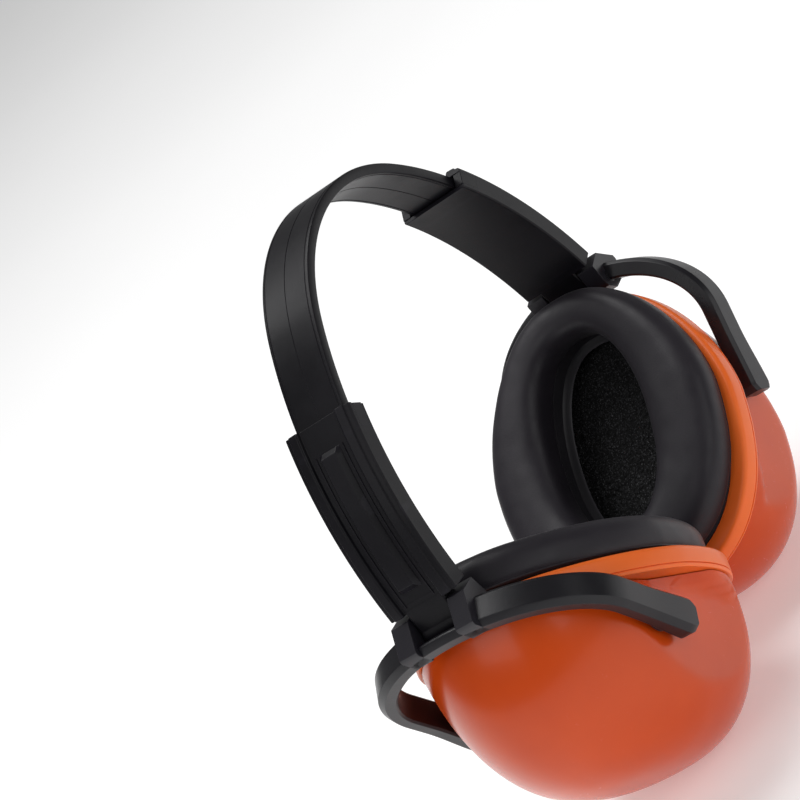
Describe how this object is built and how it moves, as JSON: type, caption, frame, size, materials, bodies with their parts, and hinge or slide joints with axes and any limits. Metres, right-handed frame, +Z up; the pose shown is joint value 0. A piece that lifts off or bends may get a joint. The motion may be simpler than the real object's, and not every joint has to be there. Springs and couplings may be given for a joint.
{
  "type": "folding earmuff hearing protector",
  "caption": "Over-the-head earmuff with a spring band, sliding sleeves, folding forked yokes and tilting padded cups.",
  "frame": {"origin": "under the middle of the earmuff, at the level of the lowest point of the cups, crown up", "axes": "+X to the wearer's right, +Y forward, +Z up to the crown of the band"},
  "size_m": [0.16, 0.0784, 0.1642],
  "materials": {
    "band_plastic": "satin",
    "yoke_plastic": "satin",
    "pin_plastic": "satin",
    "cushion_skin": "satin",
    "cushion_core": "matte",
    "plate_plastic": "satin",
    "rim_plastic": "satin",
    "shell_plastic": "gloss",
    "acoustic_foam": "matte"
  },
  "bodies": {
    "headband": {"headband": "band_plastic"},
    "right_sleeve": {"right_band_sleeve": "band_plastic"},
    "right_yoke": {"right_yoke": "yoke_plastic", "right_fold_pin": "pin_plastic", "right_front_pivot_pin": "pin_plastic", "right_rear_pivot_pin": "pin_plastic"},
    "right_cup": {"right_ear_cushion": "cushion_skin", "right_cushion_foam": "cushion_core", "right_cushion_plate": "plate_plastic", "right_cup_rim": "rim_plastic", "right_cup_shell": "shell_plastic", "right_foam_liner": "acoustic_foam"},
    "left_sleeve": {"left_band_sleeve": "band_plastic"},
    "left_yoke": {"left_yoke": "yoke_plastic", "left_fold_pin": "pin_plastic", "left_front_pivot_pin": "pin_plastic", "left_rear_pivot_pin": "pin_plastic"},
    "left_cup": {"left_ear_cushion": "cushion_skin", "left_cushion_foam": "cushion_core", "left_cushion_plate": "plate_plastic", "left_cup_rim": "rim_plastic", "left_cup_shell": "shell_plastic", "left_foam_liner": "acoustic_foam"}
  },
  "joints": [
    {"name": "right_slide", "type": "hinge", "parent": "headband", "child": "right_sleeve", "pos_m": [-0.02857, 0, 0.07267], "axis": [0, 1, 0], "range_deg": [-11.4, 0]},
    {"name": "right_fold", "type": "hinge", "parent": "right_sleeve", "child": "right_yoke", "pos_m": [0.07138, 0, 0.08107], "axis": [0, 1, 0], "range_deg": [0, 50], "deforming": ["right_ear_cushion", "right_cushion_foam", "left_ear_cushion", "left_cushion_foam"]},
    {"name": "right_tilt", "type": "hinge", "parent": "right_yoke", "child": "right_cup", "pos_m": [0.05263, 0, 0.04733], "axis": [0, 1, 0], "range_deg": [-45, 0]},
    {"name": "left_slide", "type": "hinge", "parent": "headband", "child": "left_sleeve", "pos_m": [0.02857, 0, 0.07267], "axis": [0, 1, 0], "range_deg": [0, 11.4]},
    {"name": "left_fold", "type": "hinge", "parent": "left_sleeve", "child": "left_yoke", "pos_m": [-0.07138, 0, 0.08107], "axis": [0, 1, 0], "range_deg": [-50, 0], "deforming": ["right_ear_cushion", "right_cushion_foam", "left_ear_cushion", "left_cushion_foam"]},
    {"name": "left_tilt", "type": "hinge", "parent": "left_yoke", "child": "left_cup", "pos_m": [-0.05263, 0, 0.04733], "axis": [0, 1, 0], "range_deg": [0, 45]}
  ]
}
